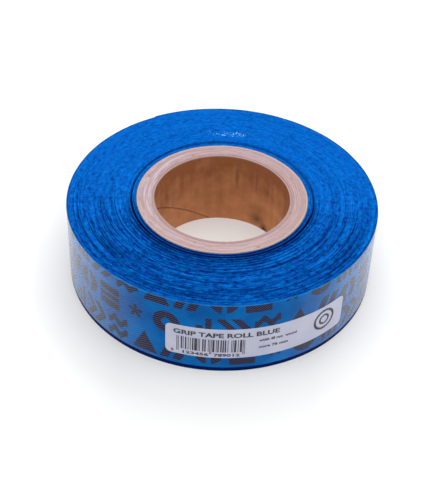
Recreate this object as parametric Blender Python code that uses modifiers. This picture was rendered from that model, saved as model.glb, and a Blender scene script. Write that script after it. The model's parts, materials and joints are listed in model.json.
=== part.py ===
"""Roll of grip tape: a blue grip band and its printed release film, wound on a spiral paper core.

The roll stands on one end face, with its axis on Z, its foot at Z = 0 and its front towards -Y.
Lengths are in metres and angles in degrees. An azimuth is counted from +X towards +Y.
The loose outer end of the band and its film is a chain of short leaves at the back of the roll,
each hinged to the leaf before it on a vertical axis in the outer surface of the film.
"""

from math import cos, degrees, radians, sin, tan

import bmesh
import bpy

# The roll
ROLL_RADIUS = 0.087  # to the outer surface of the film
BAND_WIDTH = 0.048  # also the height of the standing roll and of its core
GAP = 0.0003  # running gap between surfaces that touch on the real roll

# The core: a tube of paper plies, each a strip wound in a helix with a butt seam
CORE_BORE_RADIUS = 0.0381
CORE_WALL = 0.0099
PLY_COUNT = 8
SEAM_GAP = 0.0004
SEAM_RISE = 34.0  # angle of the seams above the horizontal
FIRST_SEAM_AZIMUTH = 101.0  # where the bore's seam meets the foot
SEAM_STAGGER = 137.5  # from the seam of one ply to that of the next

# The band
FIRST_TURNS_DEPTH = 0.0021  # the turns that are stuck to the core
GROOVE_WIDTH = 0.001  # the slack gap outside them
CROSSOVER_AZIMUTH = 20.0  # middle of the stretch that crosses the slack gap
CROSSOVER_ARC = 40.0
WOUND_STRETCHES = 4  # nested stretches that the tight turns are modelled in
BAND_THICKNESS = 0.0006

# The film, which lies outside the band and is a little narrower
FILM_THICKNESS = 0.0003
FILM_FOOT = 0.0028  # how far its lower edge lies above the band's
FILM_TOP_INSET = 0.0003  # how far its upper edge lies below the band's
LAST_TURN_GAP = 0.0004  # between the tight turns and the last one

# The loose end
TAIL_ROOT_AZIMUTH = 60.0
TAIL_LEAVES = 6
LEAF_ARC = 10.0

# The label, stuck on the film at the front
LABEL_LENGTH = 0.1015  # along the curve
LABEL_HEIGHT = 0.0207
LABEL_FOOT = 0.0103
LABEL_CORNER = 0.003
LABEL_THICKNESS = 0.0002
LABEL_AZIMUTH = -73.9

# Fineness of the meshes
CORE_FACETS = 48
BAND_FACETS = 72
SEAM_STEPS = 12
LABEL_COLUMNS = 20
CORNER_STEPS = 3
MERGE_DISTANCE = 1e-5
CUTTER_MARGIN = 0.001
SHARP_EDGE = 30.0

# Sizes that follow from those above
PLY_THICKNESS = (CORE_WALL - (PLY_COUNT - 1) * GAP) / PLY_COUNT
CORE_RADIUS = CORE_BORE_RADIUS + CORE_WALL
FIRST_TURNS_INNER = CORE_RADIUS + GAP
FIRST_TURNS_OUTER = FIRST_TURNS_INNER + FIRST_TURNS_DEPTH
WOUND_INNER = FIRST_TURNS_OUTER + GROOVE_WIDTH
FILM_INNER = ROLL_RADIUS - FILM_THICKNESS
FILM_WIDTH = BAND_WIDTH - FILM_FOOT - FILM_TOP_INSET
LAST_TURN_OUTER = FILM_INNER - GAP
LAST_TURN_INNER = LAST_TURN_OUTER - BAND_THICKNESS
WOUND_OUTER = LAST_TURN_INNER - LAST_TURN_GAP
LABEL_INNER = ROLL_RADIUS + GAP
TAIL_ARC = TAIL_LEAVES * LEAF_ARC
END_SLACK = degrees(GAP / ROLL_RADIUS)  # arc of the gap between end faces

# Finishes: colour, roughness
KRAFT = ("kraft_paper", (0.36, 0.19, 0.10), 0.85)
BOARD = ("core_board", (0.56, 0.39, 0.37), 0.90)
BAND = ("blue_band", (0.0, 0.13, 0.58), 0.75)
FILM = ("printed_film", (0.03, 0.11, 0.33), 0.15)
PAPER = ("label_paper", (0.62, 0.63, 0.66), 0.55)


def clear_scene():
    """Remove every object of the starting scene."""
    for obj in list(bpy.data.objects):
        bpy.data.objects.remove(obj, do_unlink=True)


def new_collection(name):
    collection = bpy.data.collections.new(name)
    bpy.context.scene.collection.children.link(collection)
    return collection


def finish_material(name, finish):
    """A Principled material of the piece's own, in one of the finishes."""
    kind, colour, roughness = finish
    material = bpy.data.materials.new(f"{name}_{kind}")
    material.use_nodes = True
    shader = material.node_tree.nodes["Principled BSDF"]
    shader.inputs["Base Color"].default_value = (*colour, 1.0)
    shader.inputs["Roughness"].default_value = roughness
    shader.inputs["Metallic"].default_value = 0.0
    return material


def add_object(collection, name, mesh, finish=None):
    obj = bpy.data.objects.new(name, mesh)
    collection.objects.link(obj)
    if finish:
        mesh.materials.append(finish_material(name, finish))
    return obj


def line_mesh(name, points, closed):
    """A mesh of edges only, to be turned about Z."""
    mesh = bpy.data.meshes.new(name)
    edges = [(i, i + 1) for i in range(len(points) - 1)]
    if closed:
        edges.append((len(points) - 1, 0))
    mesh.from_pydata(points, edges, [])
    return mesh


def add_screw(obj, arc, steps, rise=0.0):
    """Turn the object's profile about Z through an arc, climbing by rise."""
    screw = obj.modifiers.new("turn", "SCREW")
    screw.axis = "Z"
    screw.angle = radians(arc)
    screw.screw_offset = rise
    screw.steps = screw.render_steps = steps
    screw.use_merge_vertices = arc >= 360.0
    screw.merge_threshold = MERGE_DISTANCE


def add_thickness(obj, thickness, offset):
    """Give an open sheet its thickness: offset 1 adds it outwards, 0 on both sides."""
    solidify = obj.modifiers.new("thickness", "SOLIDIFY")
    solidify.thickness = thickness
    solidify.offset = offset
    solidify.use_even_offset = True


def tube(collection, name, inner, outer, foot, height, facets, finish):
    """A closed ring of rectangular section about Z."""
    top = foot + height
    profile = [(outer, 0, top), (outer, 0, foot), (inner, 0, foot), (inner, 0, top)]
    obj = add_object(collection, name, line_mesh(name, profile, True), finish)
    add_screw(obj, 360.0, facets)
    return obj


def arc_sheet(collection, name, inner, thickness, foot, height, start, arc, steps, finish):
    """A sheet wrapped about Z from one azimuth through an arc, as thick as given outside inner."""
    profile = [(inner, 0, foot + height), (inner, 0, foot)]
    obj = add_object(collection, name, line_mesh(name, profile, False), finish)
    obj.rotation_euler.z = radians(start)
    add_screw(obj, arc, steps)
    add_thickness(obj, thickness, 1.0)
    return obj


def cut_seam(obj, cutters, inner, outer, azimuth):
    """Cut the slanting butt seam of a ply, which meets the foot at the azimuth."""
    climb = BAND_WIDTH + 2 * CUTTER_MARGIN
    per_height = 1.0 / (inner * tan(radians(SEAM_RISE)))
    start = azimuth - degrees(CUTTER_MARGIN * per_height)
    reach = GAP / 2
    blade = [(inner - reach, 0, -CUTTER_MARGIN), (outer + reach, 0, -CUTTER_MARGIN)]
    name = f"{obj.name}_seam_cutter"
    cutter = add_object(cutters, name, line_mesh(name, blade, False))
    cutter.rotation_euler.z = radians(start)
    cutter.hide_render = True
    cutter.display_type = "WIRE"
    add_screw(cutter, degrees(climb * per_height), SEAM_STEPS, climb)
    add_thickness(cutter, SEAM_GAP, 0.0)
    cut = obj.modifiers.new("seam", "BOOLEAN")
    cut.operation = "DIFFERENCE"
    cut.solver = "EXACT"
    cut.object = cutter


def make_core(parts, cutters):
    """The plies, from the bore outwards: two kraft liners with board plies between them."""
    for index in range(PLY_COUNT):
        if index == 0:
            name, finish = "core_inner_liner", KRAFT
        elif index == PLY_COUNT - 1:
            name, finish = "core_outer_liner", KRAFT
        else:
            name, finish = f"core_ply_{index}", BOARD
        inner = CORE_BORE_RADIUS + index * (PLY_THICKNESS + GAP)
        outer = inner + PLY_THICKNESS
        ply = tube(parts, name, inner, outer, 0.0, BAND_WIDTH, CORE_FACETS, finish)
        cut_seam(ply, cutters, inner, outer, FIRST_SEAM_AZIMUTH + index * SEAM_STAGGER)


def make_wound_band(parts):
    """The turns on the core, the stretch across the slack gap, and the tight turns."""
    tube(
        parts,
        "band_first_turns",
        FIRST_TURNS_INNER,
        FIRST_TURNS_OUTER,
        0.0,
        BAND_WIDTH,
        BAND_FACETS,
        BAND,
    )
    arc_sheet(
        parts,
        "band_crossover",
        FIRST_TURNS_OUTER + GAP,
        GROOVE_WIDTH - 2 * GAP,
        0.0,
        BAND_WIDTH,
        CROSSOVER_AZIMUTH - CROSSOVER_ARC / 2,
        CROSSOVER_ARC,
        round(BAND_FACETS * CROSSOVER_ARC / 360.0),
        BAND,
    )
    gaps = (WOUND_STRETCHES - 1) * GAP
    depth = (WOUND_OUTER - WOUND_INNER - gaps) / WOUND_STRETCHES
    for index in range(WOUND_STRETCHES):
        inner = WOUND_INNER + index * (depth + GAP)
        name = f"band_turns_{index + 1}"
        tube(parts, name, inner, inner + depth, 0.0, BAND_WIDTH, BAND_FACETS, BAND)


def outer_layers():
    """The two layers of the last turn: name, inner radius, thickness, foot, height, finish."""
    return (
        ("band", LAST_TURN_INNER, BAND_THICKNESS, 0.0, BAND_WIDTH, BAND),
        ("film", FILM_INNER, FILM_THICKNESS, FILM_FOOT, FILM_WIDTH, FILM),
    )


def make_last_turn(parts):
    """Band and film from the end of the turn below round to the root of the tail."""
    start = TAIL_ROOT_AZIMUTH + TAIL_ARC + END_SLACK / 2
    arc = 360.0 - TAIL_ARC - END_SLACK
    steps = round(BAND_FACETS * arc / 360.0)
    for layer, inner, thickness, foot, height, finish in outer_layers():
        name = f"{layer}_last_turn"
        arc_sheet(parts, name, inner, thickness, foot, height, start, arc, steps, finish)


def make_tail(parts):
    """The leaves of the loose end, parented in a chain of empties on their hinge axes."""
    steps = max(1, round(BAND_FACETS * LEAF_ARC / 360.0))
    for index in range(TAIL_LEAVES):
        root = TAIL_ROOT_AZIMUTH + index * LEAF_ARC
        hinge = bpy.data.objects.new(f"tail_hinge_{index + 1}", None)
        hinge.empty_display_size = BAND_WIDTH / 4
        hinge.location = (ROLL_RADIUS * cos(radians(root)), ROLL_RADIUS * sin(radians(root)), 0.0)
        parts.objects.link(hinge)
        start, arc = root + END_SLACK / 2, LEAF_ARC - END_SLACK
        for layer, inner, thickness, foot, height, finish in outer_layers():
            name = f"{layer}_tail_{index + 1}"
            leaf = arc_sheet(
                parts, name, inner, thickness, foot, height, start, arc, steps, finish
            )
            leaf.parent = hinge
            leaf.location = (-hinge.location.x, -hinge.location.y, 0.0)


def make_label(parts):
    """A thin sheet with round corners, wrapped on the front of the film."""
    mesh = bpy.data.meshes.new("roll_label")
    sheet = bmesh.new()
    bmesh.ops.create_grid(sheet, x_segments=LABEL_COLUMNS, y_segments=1, size=0.5)
    corners = [v for v in sheet.verts if len(v.link_edges) == 2]
    for vert in sheet.verts:
        across, up = vert.co.x * LABEL_LENGTH, vert.co.y * LABEL_HEIGHT
        turn = radians(LABEL_AZIMUTH) + across / LABEL_INNER
        height = LABEL_FOOT + LABEL_HEIGHT / 2 + up
        vert.co = (LABEL_INNER * cos(turn), LABEL_INNER * sin(turn), height)
    bmesh.ops.bevel(
        sheet,
        geom=corners,
        offset=LABEL_CORNER,
        segments=CORNER_STEPS,
        profile=0.5,
        affect="VERTICES",
    )
    sheet.to_mesh(mesh)
    sheet.free()
    obj = add_object(parts, "roll_label", mesh, PAPER)
    add_thickness(obj, LABEL_THICKNESS, 1.0)


def shade_pieces(parts):
    """Apply each piece's modifiers and shade it smooth up to its sharp rims."""
    graph = bpy.context.evaluated_depsgraph_get()
    pieces = [obj for obj in parts.objects if obj.type == "MESH"]
    shaped = [bpy.data.meshes.new_from_object(obj.evaluated_get(graph)) for obj in pieces]
    for obj, mesh in zip(pieces, shaped):
        obj.modifiers.clear()
        mesh.name = obj.name
        obj.data = mesh
        mesh.shade_smooth()
        mesh.set_sharp_from_angle(angle=radians(SHARP_EDGE))


def main():
    clear_scene()
    parts = new_collection("grip_tape_roll")
    cutters = new_collection("cutters")
    make_core(parts, cutters)
    make_wound_band(parts)
    make_last_turn(parts)
    make_tail(parts)
    make_label(parts)
    shade_pieces(parts)


main()
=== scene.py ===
"""Looks of a wide roll of grip tape: paper core, wound band, printed film, peeling end and label.

Lengths are in metres, unless a docstring says millimetres. An azimuth is counted from +X towards
+Y, and the middle of the roll's front lies at the azimuth FACING, towards -Y.
"""

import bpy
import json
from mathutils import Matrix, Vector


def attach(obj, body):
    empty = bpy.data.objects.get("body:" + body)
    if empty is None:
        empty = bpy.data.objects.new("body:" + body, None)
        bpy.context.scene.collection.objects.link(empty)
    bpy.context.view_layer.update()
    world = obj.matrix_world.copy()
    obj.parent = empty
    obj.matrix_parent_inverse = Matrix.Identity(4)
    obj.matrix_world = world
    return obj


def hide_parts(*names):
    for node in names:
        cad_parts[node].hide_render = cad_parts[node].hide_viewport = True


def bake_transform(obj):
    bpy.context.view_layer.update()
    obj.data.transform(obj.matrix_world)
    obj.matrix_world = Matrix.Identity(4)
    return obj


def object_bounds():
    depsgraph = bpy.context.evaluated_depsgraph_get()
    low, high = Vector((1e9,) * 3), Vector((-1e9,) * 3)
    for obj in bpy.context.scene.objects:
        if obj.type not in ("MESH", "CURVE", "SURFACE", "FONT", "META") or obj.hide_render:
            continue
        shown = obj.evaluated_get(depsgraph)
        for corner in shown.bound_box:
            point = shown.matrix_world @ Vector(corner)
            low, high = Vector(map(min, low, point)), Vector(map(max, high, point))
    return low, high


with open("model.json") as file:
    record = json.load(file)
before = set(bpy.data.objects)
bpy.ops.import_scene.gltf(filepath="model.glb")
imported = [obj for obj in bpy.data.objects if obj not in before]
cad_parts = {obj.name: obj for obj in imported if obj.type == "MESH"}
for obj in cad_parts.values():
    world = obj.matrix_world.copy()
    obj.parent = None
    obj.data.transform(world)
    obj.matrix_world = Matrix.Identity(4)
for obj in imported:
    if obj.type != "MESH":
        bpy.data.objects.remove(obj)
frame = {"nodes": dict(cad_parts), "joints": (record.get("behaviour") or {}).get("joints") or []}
CAD_BOX = [list(corner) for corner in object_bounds()]

import json
import logging
import math
from collections.abc import Callable, Sequence
from dataclasses import dataclass, replace
from enum import Enum

import bpy
import numpy as np
from mathutils import Matrix, Vector

LOG = logging.getLogger("grip_tape_roll")
MM = 0.001
FULL_TURN = 2.0 * math.pi
FACING = math.radians(270.0)
SEED = 4021

Color = tuple[float, float, float, float]
Place = tuple[float, float, float]
Box = tuple[float, float, float, float]
Socket = bpy.types.NodeSocket
Value = float | Socket


# ---------------------------------------------------------------- sizes that the frame gives


def ring_radii(node: str) -> tuple[float, float]:
    """Measures a CAD ring.

    Args:
        node: name of the ring.

    Returns:
        Its inner and outer radius, to a tenth of a millimetre. They are quartiles, because the few
        vertices at the seam lie off both walls.
    """
    points = frame["nodes"][node].data.vertices
    away = [math.hypot(point.co.x, point.co.y) for point in points]
    inner, outer = np.percentile(away, (25, 75))
    return round(float(inner), 4), round(float(outer), 4)


def hinge_azimuth(joint: dict) -> float:
    """Azimuth of a hinge of the loose end, counted on past a full turn."""
    across, along, _ = joint["pos_m"]
    return math.atan2(along, across) + FULL_TURN


ROLL_RADIUS = round(CAD_BOX[1][0], 4)
ROLL_HEIGHT = round(CAD_BOX[1][2], 4)
BORE_RADIUS = ring_radii("core_inner_liner")[0]
CORE_RADIUS = ring_radii("core_outer_liner")[1]
HINGES = sorted(hinge_azimuth(joint) for joint in frame["joints"])


class Slot(Enum):
    """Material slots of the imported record."""

    KRAFT = "kraft_liner"
    BOARD = "core_board"
    BAND = "grip_band"
    FILM = "printed_film"
    LABEL = "label_paper"


class Layer(Enum):
    """Values that every skin carries on its points."""

    FLAT = "wound_flat"
    # Painted shade in the band's crevices and at its foot, and dark seams of the core's plies.
    WEAR = "wound_wear"
    TONE = "wound_tone"


class Motif(Enum):
    """Plain marks printed in rows on the release film, in the order they repeat."""

    RING = 0
    RISING_BARS = 1
    DOUBLE_CHEVRON = 2
    WAVES = 3
    TRIANGLE = 4
    SLANTED_BARS = 5
    SPLIT_RING = 6
    LADDER = 7
    SPARK = 8


# ---------------------------------------------------------------- repeatable unevenness


def eased(low: float, high: float, value: np.ndarray) -> np.ndarray:
    """Rises smoothly from 0 at low to 1 at high."""
    share = np.clip((value - low) / (high - low), 0.0, 1.0)
    return share * share * (3.0 - 2.0 * share)


class Unevenness:
    """Smooth random curves and fields that come out the same on every run."""

    def __init__(self, seed: int) -> None:
        """Starts the random numbers.

        Args:
            seed: number that fixes the outcome.
        """
        self.random = np.random.default_rng(seed)

    def along(self, knots: int) -> Callable[[np.ndarray], np.ndarray]:
        """Makes a smooth curve through random heights from 0 to 1.

        Args:
            knots: number of random heights before the curve repeats.

        Returns:
            A function of position, counted in knots.
        """
        heights = self.random.random(knots)

        def curve(position: np.ndarray) -> np.ndarray:
            """Reads the curve.

            Args:
                position: places along it.

            Returns:
                Its height at each place.
            """
            low = np.floor(position).astype(int)
            share = eased(0.0, 1.0, position - low)
            return heights[low % knots] * (1.0 - share) + heights[(low + 1) % knots] * share

        return curve

    def across(self, rows: int, columns: int) -> Callable[[np.ndarray, np.ndarray], np.ndarray]:
        """Makes a smooth field through random heights from 0 to 1.

        Args:
            rows: number of heights in the first direction.
            columns: number of heights in the second direction, which closes on itself.

        Returns:
            A function of two positions, counted in heights.
        """
        heights = self.random.random((rows, columns))

        def field(first: np.ndarray, second: np.ndarray) -> np.ndarray:
            """Reads the field.

            Args:
                first: places in the first direction.
                second: places in the second direction.

            Returns:
                Its height at each pair of places.
            """
            row = np.floor(first).astype(int)
            column = np.floor(second).astype(int)
            down = eased(0.0, 1.0, first - row)
            right = eased(0.0, 1.0, second - column)
            near, far = (
                heights[line % rows, column % columns] * (1.0 - right)
                + heights[line % rows, (column + 1) % columns] * right
                for line in (row, row + 1)
            )
            return near * (1.0 - down) + far * down

        return field


# ---------------------------------------------------------------- skins


@dataclass
class Skin:
    """A closed cross-section loop carried past a run of stations round the roll.

    The loops run anticlockwise, seen with the radius to the right and the height upwards. A skin's
    pattern lies flat along the strip, or as it is seen from above where from_above is set.
    """

    radius: np.ndarray
    angle: np.ndarray
    height: np.ndarray
    wear: np.ndarray | None = None
    tone: np.ndarray | None = None
    closed: bool = False
    from_above: bool = False
    arc_radius: float = ROLL_RADIUS
    arc_shift: float = 0.0
    sharp: float = 50.0

    def points(self) -> np.ndarray:
        """Finds the places of all points.

        Returns:
            The places, as stations by loop by three.
        """
        across = self.radius * np.cos(self.angle)
        along = self.radius * np.sin(self.angle)
        return np.stack([across, along, self.height], axis=-1)

    def flat(self) -> np.ndarray:
        """Finds where all points lie in the pattern.

        Returns:
            The places, as stations by loop by three.
        """
        if self.from_above:
            return self.points()
        arc = (self.angle - FACING) * self.arc_radius + self.arc_shift
        return np.stack([arc, self.radius, self.height], axis=-1)

    def faces(self) -> list[list[int]]:
        """Lists the faces between stations, and the two end faces of an open run.

        Returns:
            Point numbers of each face.
        """
        stations, loop = self.radius.shape
        index = np.arange(stations * loop).reshape(stations, loop)
        here = index if self.closed else index[:-1]
        ahead = np.roll(index, -1, axis=0) if self.closed else index[1:]
        sides = [here, ahead, np.roll(ahead, -1, axis=1), np.roll(here, -1, axis=1)]
        found = np.stack(sides, axis=-1).reshape(-1, 4).tolist()
        if not self.closed:
            found.append(index[0].tolist())
            found.append(index[-1][::-1].tolist())
        return found

    def build(self, name: str) -> bpy.types.Object:
        """Makes the mesh object.

        Args:
            name: name of the piece.

        Returns:
            The object, linked to the scene.
        """
        mesh = bpy.data.meshes.new(name)
        mesh.from_pydata(self.points().reshape(-1, 3).tolist(), [], self.faces())
        store_vectors(mesh, Layer.FLAT, self.flat())
        store_numbers(mesh, Layer.WEAR, self.wear, 0.0)
        store_numbers(mesh, Layer.TONE, self.tone, 0.5)
        mesh.shade_smooth()
        mesh.set_sharp_from_angle(angle=math.radians(self.sharp))
        return link_piece(name, mesh)


def link_piece(name: str, data: bpy.types.ID) -> bpy.types.Object:
    """Makes an object of a mesh, curve, lamp or camera, and links it to the scene.

    Args:
        name: name of the object.
        data: what it shows.

    Returns:
        The object.
    """
    piece = bpy.data.objects.new(name, data)
    bpy.context.scene.collection.objects.link(piece)
    return piece


def store_vectors(mesh: bpy.types.Mesh, layer: Layer, values: np.ndarray) -> None:
    """Keeps one vector on each point of a mesh."""
    attribute = mesh.attributes.new(layer.value, "FLOAT_VECTOR", "POINT")
    attribute.data.foreach_set("vector", values.astype(np.float32).ravel())


def store_numbers(
    mesh: bpy.types.Mesh, layer: Layer, values: np.ndarray | None, default: float
) -> None:
    """Keeps one number on each point of a mesh.

    Args:
        mesh: the mesh.
        layer: where the numbers go.
        values: the numbers, or None.
        default: number for every point where there are no values.
    """
    attribute = mesh.attributes.new(layer.value, "FLOAT", "POINT")
    if values is None:
        values = np.full(len(mesh.vertices), default)
    attribute.data.foreach_set("value", np.asarray(values).astype(np.float32).ravel())


def grow(values: Sequence[float], stations: int) -> np.ndarray:
    """Repeats one loop of values for a number of stations."""
    return np.tile(np.asarray(values, dtype=float), (stations, 1))


# ---------------------------------------------------------------- shader nodes


class Graph:
    """Short calls that lay nodes in one tree."""

    def __init__(self, tree: bpy.types.NodeTree) -> None:
        """Keeps the tree that the nodes go into."""
        self.tree = tree

    def node(self, kind: str, **settings: object) -> bpy.types.Node:
        """Adds a node.

        Args:
            kind: Blender's name of its type.
            settings: its options and what each is set to.

        Returns:
            The node.
        """
        made = self.tree.nodes.new(kind)
        for name, value in settings.items():
            setattr(made, name, value)
        return made

    def feed(self, socket: Socket, value: object) -> None:
        """Links an output into a socket, or writes a plain value on it.

        Args:
            socket: the input.
            value: an output, or a number, colour or vector.
        """
        if isinstance(value, bpy.types.NodeSocket):
            self.tree.links.new(value, socket)
        else:
            socket.default_value = value

    def feed_inputs(self, node: bpy.types.Node, **values: object) -> None:
        """Feeds inputs of a node by name, with spaces in a name written as underscores."""
        for name, value in values.items():
            self.feed(node.inputs[name.replace("_", " ")], value)

    def math(
        self, operation: str, first: Value, second: Value = 0.0, third: Value = 0.0
    ) -> Socket:
        """Adds one step of arithmetic.

        Args:
            operation: name of the step.
            first: first number.
            second: second number.
            third: third number.

        Returns:
            The result.
        """
        made = self.node("ShaderNodeMath", operation=operation)
        for socket, value in zip(made.inputs, (first, second, third)):
            self.feed(socket, value)
        return made.outputs[0]

    def scaled(self, value: Value, gain: Value, base: Value) -> Socket:
        """Multiplies a number by a gain and adds a base."""
        return self.math("MULTIPLY_ADD", value, gain, base)

    def times(self, first: Value, second: Value) -> Socket:
        """Multiplies two numbers."""
        return self.math("MULTIPLY", first, second)

    def minus(self, first: Value, second: Value) -> Socket:
        """Takes the second number from the first."""
        return self.math("SUBTRACT", first, second)

    def over(self, first: Value, second: Value) -> Socket:
        """Divides the first number by the second."""
        return self.math("DIVIDE", first, second)

    def larger(self, first: Value, second: Value) -> Socket:
        """Takes the larger of two numbers."""
        return self.math("MAXIMUM", first, second)

    def unsigned(self, value: Value) -> Socket:
        """Drops a number's sign."""
        return self.math("ABSOLUTE", value)

    def clamp(self, value: Value) -> Socket:
        """Keeps a number between 0 and 1.

        Args:
            value: the number.

        Returns:
            The number within its bounds.
        """
        made = self.node("ShaderNodeClamp")
        self.feed(made.inputs[0], value)
        return made.outputs[0]

    def contrast(self, value: Value, low: float, high: float) -> Socket:
        """Spreads the range from low to high over 0 to 1."""
        return self.clamp(self.over(self.minus(value, low), high - low))

    def length(self, first: Value, second: Value) -> Socket:
        """Distance of a point from the origin."""
        squares = self.times(second, second)
        return self.math("SQRT", self.scaled(first, first, squares))

    def mix(self, share: Value, low: object, high: object) -> Socket:
        """Mixes two colours.

        Args:
            share: share of the second colour.
            low: first colour.
            high: second colour.

        Returns:
            The colour.
        """
        made = self.node("ShaderNodeMix", data_type="RGBA")
        self.feed(made.inputs[0], share)
        self.feed(made.inputs[6], low)
        self.feed(made.inputs[7], high)
        return made.outputs[2]

    def ramp(self, value: Value, stops: Sequence[tuple[float, Color]]) -> Socket:
        """Turns a number into a colour.

        Args:
            value: the number.
            stops: places from 0 to 1 and their colours.

        Returns:
            The colour.
        """
        made = self.node("ShaderNodeValToRGB")
        self.feed(made.inputs[0], value)
        elements = made.color_ramp.elements
        while len(elements) < len(stops):
            elements.new(0.5)
        for element, (place, color) in zip(elements, stops):
            element.position = place
            element.color = color
        return made.outputs[0]

    def stretch(self, place: Socket, factors: Place) -> Socket:
        """Scales a place by its own factor in each direction.

        Args:
            place: the place.
            factors: the three factors.

        Returns:
            The new place.
        """
        made = self.node("ShaderNodeVectorMath", operation="MULTIPLY")
        self.feed(made.inputs[0], place)
        self.feed(made.inputs[1], factors)
        return made.outputs[0]

    def parts(self, place: Socket) -> list[Socket]:
        """Splits a place into its three numbers.

        Args:
            place: the place.

        Returns:
            The three numbers.
        """
        made = self.node("ShaderNodeSeparateXYZ")
        self.feed(made.inputs[0], place)
        return list(made.outputs)

    def noise(self, place: Socket, scale: Value, detail: float = 3.0) -> Socket:
        """Adds soft noise.

        Args:
            place: where the noise is read.
            scale: how many lumps there are to the metre.
            detail: how many finer layers it has.

        Returns:
            A number from 0 to 1.
        """
        made = self.node("ShaderNodeTexNoise")
        self.feed_inputs(made, Vector=place, Scale=scale, Detail=detail)
        return made.outputs[0]

    def layer(self, layer: Layer) -> Socket:
        """Reads what a skin carries on its points."""
        made = self.node("ShaderNodeAttribute", attribute_name=layer.value)
        return made.outputs["Vector"] if layer is Layer.FLAT else made.outputs["Fac"]

    def effect(self, name: str, **values: object) -> bpy.types.Node:
        """Places a shared effect and feeds its inputs.

        Args:
            name: name of the effect.
            values: what each input gets.

        Returns:
            The node, whose outputs carry the effect.
        """
        made = self.node("ShaderNodeGroup", node_tree=bpy.data.node_groups[name])
        self.feed_inputs(made, **values)
        return made

    def in_crevices(self, color: Socket, tint: Color, grain: Socket, reach: float) -> Socket:
        """Paints shade into the crevices that a skin marks, and darkens the seams of the core's plies.

        Args:
            color: colour of the open surface.
            tint: colour at the bottom of a crevice.
            grain: noise that breaks a crevice's edge.
            reach: depth from 0 to 1 at which the tint covers the surface.

        Returns:
            The colour.
        """
        depth = self.layer(Layer.WEAR)
        wear = self.effect(SharedEffects.WEAR, Depth=depth, Grain=grain, Reach=reach)
        return self.mix(wear.outputs["Crevice"], color, tint)

    def bump(self, height: Value, distance: float, strength: float) -> Socket:
        """Turns a height into a surface normal.

        Args:
            height: height from 0 to 1.
            distance: what a height of 1 stands for.
            strength: how strongly it shows.

        Returns:
            The normal.
        """
        made = self.node("ShaderNodeBump")
        self.feed_inputs(made, Height=height, Distance=distance, Strength=strength)
        return made.outputs["Normal"]


class SharedEffects:
    """Shader node groups that several finishes use, each built once."""

    GRAIN = "paper_fibre_grain"
    MOTTLING = "band_mottling"
    WEAR = "dark_crevices"
    EMBOSS = "film_diamond_emboss"
    PRINT = "film_print_rows"

    def build(self) -> None:
        """Makes every group."""
        self.fibre_grain()
        self.mottling()
        self.crevices()
        self.diamond_emboss()
        PrintRows().build(self.open_group)

    @staticmethod
    def open_group(
        name: str, inputs: dict[str, object], outputs: Sequence[str]
    ) -> tuple[Graph, dict[str, Socket], dict[str, Socket]]:
        """Starts a node group.

        Args:
            name: name of the effect.
            inputs: names of the inputs with their defaults; a tuple makes a vector.
            outputs: names of the outputs, which are all numbers.

        Returns:
            The graph, the inputs to read and the outputs to feed.
        """
        tree = bpy.data.node_groups.new(name, "ShaderNodeTree")
        for label, default in inputs.items():
            kind = "NodeSocketVector" if isinstance(default, tuple) else "NodeSocketFloat"
            socket = tree.interface.new_socket(name=label, in_out="INPUT", socket_type=kind)
            socket.default_value = default
        for label in outputs:
            tree.interface.new_socket(name=label, in_out="OUTPUT", socket_type="NodeSocketFloat")
        graph = Graph(tree)
        entry = graph.node("NodeGroupInput")
        leave = graph.node("NodeGroupOutput")
        given = {label: entry.outputs[label] for label in inputs}
        taken = {label: leave.inputs[label] for label in outputs}
        return graph, given, taken

    def fibre_grain(self) -> None:
        """Paper fibres that lie along the strip, with soft clouds under them."""
        inputs = {"Place": (0.0, 0.0, 0.0), "Fibres": 900.0, "Clouds": 60.0}
        graph, given, taken = self.open_group(self.GRAIN, inputs, ("Fibre", "Cloud"))
        long_way = graph.stretch(given["Place"], (0.25, 1.0, 1.0))
        graph.feed(taken["Fibre"], graph.noise(long_way, given["Fibres"], 4.0))
        graph.feed(taken["Cloud"], graph.noise(given["Place"], given["Clouds"], 2.0))

    def mottling(self) -> None:
        """Blotches and specks of a foamed surface at two scales."""
        inputs = {"Place": (0.0, 0.0, 0.0), "Blotches": 500.0, "Specks": 1600.0}
        graph, given, taken = self.open_group(self.MOTTLING, inputs, ("Blotch", "Speck"))
        blotch = graph.noise(given["Place"], given["Blotches"], 3.0)
        speck = graph.noise(given["Place"], given["Specks"], 2.0)
        graph.feed(taken["Blotch"], graph.contrast(blotch, 0.32, 0.68))
        graph.feed(taken["Speck"], graph.contrast(speck, 0.35, 0.65))

    def crevices(self) -> None:
        """Painted shade in crevices and at the band's foot, and dark seams of the core's plies, from
        the depth that a skin carries.
        """
        inputs = {"Depth": 0.0, "Grain": 0.5, "Reach": 0.6}
        graph, given, taken = self.open_group(self.WEAR, inputs, ("Crevice",))
        shaken = graph.scaled(given["Grain"], 0.3, given["Depth"])
        shaken = graph.minus(shaken, 0.15)
        crevice = graph.over(shaken, given["Reach"])
        graph.feed(taken["Crevice"], graph.clamp(crevice))

    def diamond_emboss(self) -> None:
        """Crossed fine furrows pressed into the film."""
        inputs = {"Place": (0.0, 0.0, 0.0), "Pitch": 1.4 * MM, "Slope": 0.74}
        graph, given, taken = self.open_group(self.EMBOSS, inputs, ("Height", "Furrow"))
        arc, _, height = graph.parts(given["Place"])
        lifted = graph.times(arc, given["Slope"])
        ridges = []
        for operation in ("ADD", "SUBTRACT"):
            across = graph.math(operation, height, lifted)
            share = graph.math("FRACT", graph.over(across, given["Pitch"]))
            centred = graph.unsigned(graph.minus(share, 0.5))
            ridges.append(graph.times(centred, 2.0))
        diamond = graph.larger(graph.times(ridges[0], 0.78), ridges[1])
        graph.feed(taken["Height"], graph.minus(1.0, diamond))
        furrow = graph.times(graph.minus(diamond, 0.60), 4.0)
        graph.feed(taken["Furrow"], graph.clamp(furrow))


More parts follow.
